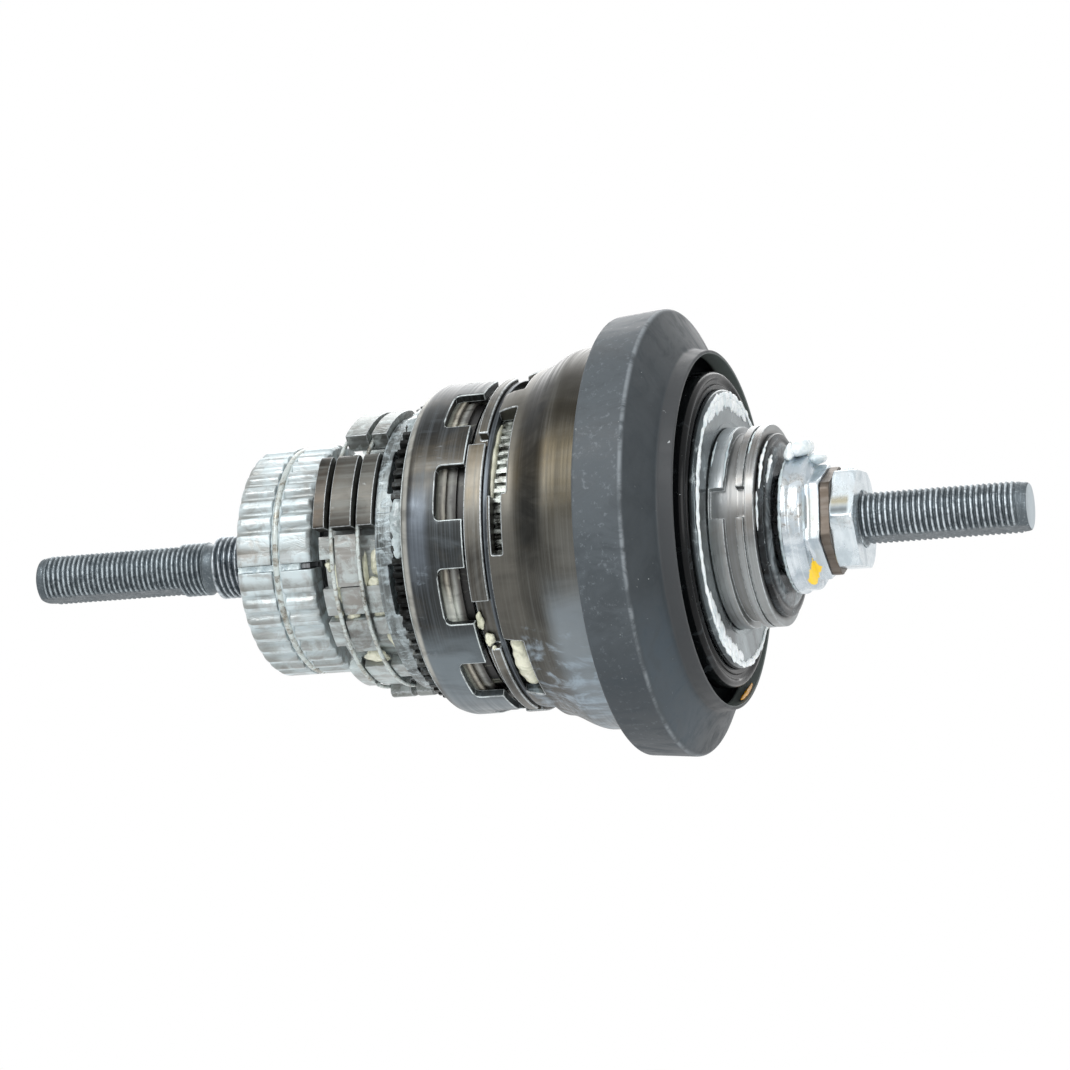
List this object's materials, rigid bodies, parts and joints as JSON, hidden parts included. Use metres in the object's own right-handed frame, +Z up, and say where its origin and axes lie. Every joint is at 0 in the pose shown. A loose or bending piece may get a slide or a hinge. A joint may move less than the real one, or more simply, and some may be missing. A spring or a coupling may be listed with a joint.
{
  "type": "internal hub gear unit",
  "caption": "Bare internal gear unit of a bicycle hub: threaded axle, brake shoes, pawl carrier, planet gears, ring gears, cupped driver with a wide dust cap, cone and locknut.",
  "frame": {"origin": "on the axle's centre line, half way along the axle", "axes": "+X along the axle towards the drive side (the sprocket seat), +Z up, the pictured side faces -Y"},
  "size_m": [0.182, 0.0772, 0.0772],
  "materials": {
    "thread_steel": "dark ground steel with rolled threads",
    "shoe_steel": "pale steel under milky grease",
    "anchor_steel": "satin steel",
    "spring_wire": "drawn spring wire",
    "pawl_steel": "dark hardened steel, ground edges",
    "carrier_steel": "dark hardened steel",
    "plate_steel": "satin steel under milky grease",
    "gear_steel": "case-hardened gear steel",
    "pin_steel": "ground steel",
    "drum_steel": "dark hardened steel, bright window edges",
    "cup_steel": "turned brown-grey steel",
    "cap_plastic": "satin charcoal",
    "seal_rubber": "glossy black",
    "front_plate_steel": "satin plate",
    "nose_steel": "turned grey steel",
    "bearing_steel": "polished",
    "cage_steel": "pressed steel",
    "zinc_steel": "bright bluish zinc plating",
    "washer_steel": "brownish dark steel"
  },
  "bodies": {
    "axle_group": {"axle": "thread_steel", "brake_anchor": "anchor_steel", "shoe_ring_spring": "spring_wire", "sun_gear_locked": "gear_steel", "bearing_balls": "bearing_steel", "ball_cage": "cage_steel", "right_cone": "zinc_steel", "lock_washer": "washer_steel", "lock_nut": "zinc_steel", "return_spring": "spring_wire"},
    "driver_group": {"claw_ring": "cup_steel", "claw_circlip": "spring_wire", "driver_cup": "cup_steel", "spline_ring": "gear_steel", "ring_gear_right": "gear_steel", "dust_cap": "cap_plastic", "dust_seal": "seal_rubber", "front_plate": "front_plate_steel", "driver_nose": "nose_steel", "nose_seal": "seal_rubber"},
    "carrier_group": {"pawl_ring": "carrier_steel", "carrier_plate": "plate_steel", "planet_cage": "carrier_steel", "pawl_wire_left": "spring_wire", "pawl_wire_right": "spring_wire", "planet_pin_1": "pin_steel", "planet_pin_2": "pin_steel", "planet_pin_3": "pin_steel"},
    "drum_group": {"ratchet_ring": "drum_steel", "window_drum": "drum_steel", "ring_gear_left": "gear_steel"},
    "free_sun": {"sun_gear_free": "gear_steel"},
    "cam": {"brake_cam": "anchor_steel"},
    "sleeve": {"shift_sleeve": "anchor_steel"},
    "locked_sun_pawl": {"sun_pawl_locked": "pawl_steel"},
    "free_sun_pawl": {"sun_pawl_free": "pawl_steel"},
    "planet_1": {"planet_gear_1": "gear_steel"},
    "planet_2": {"planet_gear_2": "gear_steel"},
    "planet_3": {"planet_gear_3": "gear_steel"},
    "shoe_1": {"brake_shoe_1": "shoe_steel"},
    "shoe_2": {"brake_shoe_2": "shoe_steel"},
    "shoe_3": {"brake_shoe_3": "shoe_steel"},
    "shoe_4": {"brake_shoe_4": "shoe_steel"},
    "drive_pawl_front": {"drive_pawl_front": "pawl_steel"},
    "drive_pawl_rear": {"drive_pawl_rear": "pawl_steel"},
    "second_pawl_front": {"second_pawl_front": "pawl_steel"},
    "second_pawl_rear": {"second_pawl_rear": "pawl_steel"}
  },
  "joints": [
    {"name": "driver_spin", "type": "hinge", "parent": "axle_group", "child": "driver_group", "pos_m": [0, 0, 0], "axis": [1, 0, 0], "continuous": true},
    {"name": "carrier_spin", "type": "hinge", "parent": "axle_group", "child": "carrier_group", "pos_m": [0, 0, 0], "axis": [1, 0, 0], "continuous": true},
    {"name": "drum_spin", "type": "hinge", "parent": "axle_group", "child": "drum_group", "pos_m": [0, 0, 0], "axis": [1, 0, 0], "continuous": true},
    {"name": "free_sun_spin", "type": "hinge", "parent": "axle_group", "child": "free_sun", "pos_m": [0, 0, 0], "axis": [1, 0, 0], "continuous": true},
    {"name": "planet_1_spin", "type": "hinge", "parent": "carrier_group", "child": "planet_1", "pos_m": [0, -0.01474, 0.01032], "axis": [1, 0, 0], "continuous": true},
    {"name": "planet_2_spin", "type": "hinge", "parent": "carrier_group", "child": "planet_2", "pos_m": [0, -0.00157, -0.01793], "axis": [1, 0, 0], "continuous": true},
    {"name": "planet_3_spin", "type": "hinge", "parent": "carrier_group", "child": "planet_3", "pos_m": [0, 0.01631, 0.00761], "axis": [1, 0, 0], "continuous": true},
    {"name": "cam_turn", "type": "hinge", "parent": "axle_group", "child": "cam", "pos_m": [0, 0, 0], "axis": [1, 0, 0], "range_deg": [0, 16]},
    {"name": "shoe_1_slide", "type": "slide", "parent": "axle_group", "child": "shoe_1", "axis": [0, -0.682, -0.7314], "range_m": [0, 0.0006]},
    {"name": "shoe_2_slide", "type": "slide", "parent": "axle_group", "child": "shoe_2", "axis": [0, 0.7314, -0.682], "range_m": [0, 0.0006]},
    {"name": "shoe_3_slide", "type": "slide", "parent": "axle_group", "child": "shoe_3", "axis": [0, 0.682, 0.7314], "range_m": [0, 0.0006]},
    {"name": "shoe_4_slide", "type": "slide", "parent": "axle_group", "child": "shoe_4", "axis": [0, -0.7314, 0.682], "range_m": [0, 0.0006]},
    {"name": "drive_pawl_front_fold", "type": "hinge", "parent": "carrier_group", "child": "drive_pawl_front", "pos_m": [0, -0.01543, 0.01409], "axis": [1, 0, 0], "range_deg": [0, 6.5], "stiffness_Nm_per_rad": 0.02, "springref_deg": -20.05},
    {"name": "drive_pawl_rear_fold", "type": "hinge", "parent": "carrier_group", "child": "drive_pawl_rear", "pos_m": [0, 0.01543, -0.01409], "axis": [1, 0, 0], "range_deg": [0, 6.5], "stiffness_Nm_per_rad": 0.02, "springref_deg": -20.05},
    {"name": "second_pawl_front_fold", "type": "hinge", "parent": "carrier_group", "child": "second_pawl_front", "pos_m": [0, -0.00036, 0.0209], "axis": [1, 0, 0], "range_deg": [0, 6.5], "stiffness_Nm_per_rad": 0.02, "springref_deg": -20.05},
    {"name": "second_pawl_rear_fold", "type": "hinge", "parent": "carrier_group", "child": "second_pawl_rear", "pos_m": [0, 0.00036, -0.0209], "axis": [1, 0, 0], "range_deg": [0, 6.5], "stiffness_Nm_per_rad": 0.02, "springref_deg": -20.05},
    {"name": "sleeve_turn", "type": "hinge", "parent": "axle_group", "child": "sleeve", "pos_m": [0, 0, 0], "axis": [1, 0, 0], "range_deg": [0, 30], "stiffness_Nm_per_rad": 0.01, "springref_deg": -28.65},
    {"name": "locked_sun_pawl_fold", "type": "hinge", "parent": "axle_group", "child": "locked_sun_pawl", "pos_m": [0, 0.00541, -0.00145], "axis": [1, 0, 0], "range_deg": [0, 7]},
    {"name": "free_sun_pawl_fold", "type": "hinge", "parent": "axle_group", "child": "free_sun_pawl", "pos_m": [0, 0.00541, -0.00145], "axis": [1, 0, 0], "range_deg": [0, 4], "stiffness_Nm_per_rad": 0.005, "springref_deg": -17.19}
  ],
  "couplings": [
    {"joint": "carrier_spin", "follows": "driver_spin", "ratio": 0.66667},
    {"joint": "drum_spin", "follows": "driver_spin", "ratio": 1.0588},
    {"joint": "free_sun_spin", "follows": "driver_spin", "ratio": -0.28571},
    {"joint": "planet_1_spin", "follows": "driver_spin", "ratio": 1.3333},
    {"joint": "planet_2_spin", "follows": "driver_spin", "ratio": 1.3333},
    {"joint": "planet_3_spin", "follows": "driver_spin", "ratio": 1.3333},
    {"joint": "shoe_1_slide", "follows": "cam_turn", "m_per_rad": 0.0021486},
    {"joint": "shoe_2_slide", "follows": "cam_turn", "m_per_rad": 0.0021486},
    {"joint": "shoe_3_slide", "follows": "cam_turn", "m_per_rad": 0.0021486},
    {"joint": "shoe_4_slide", "follows": "cam_turn", "m_per_rad": 0.0021486},
    {"joint": "locked_sun_pawl_fold", "follows": "sleeve_turn", "ratio": 0.2}
  ]
}
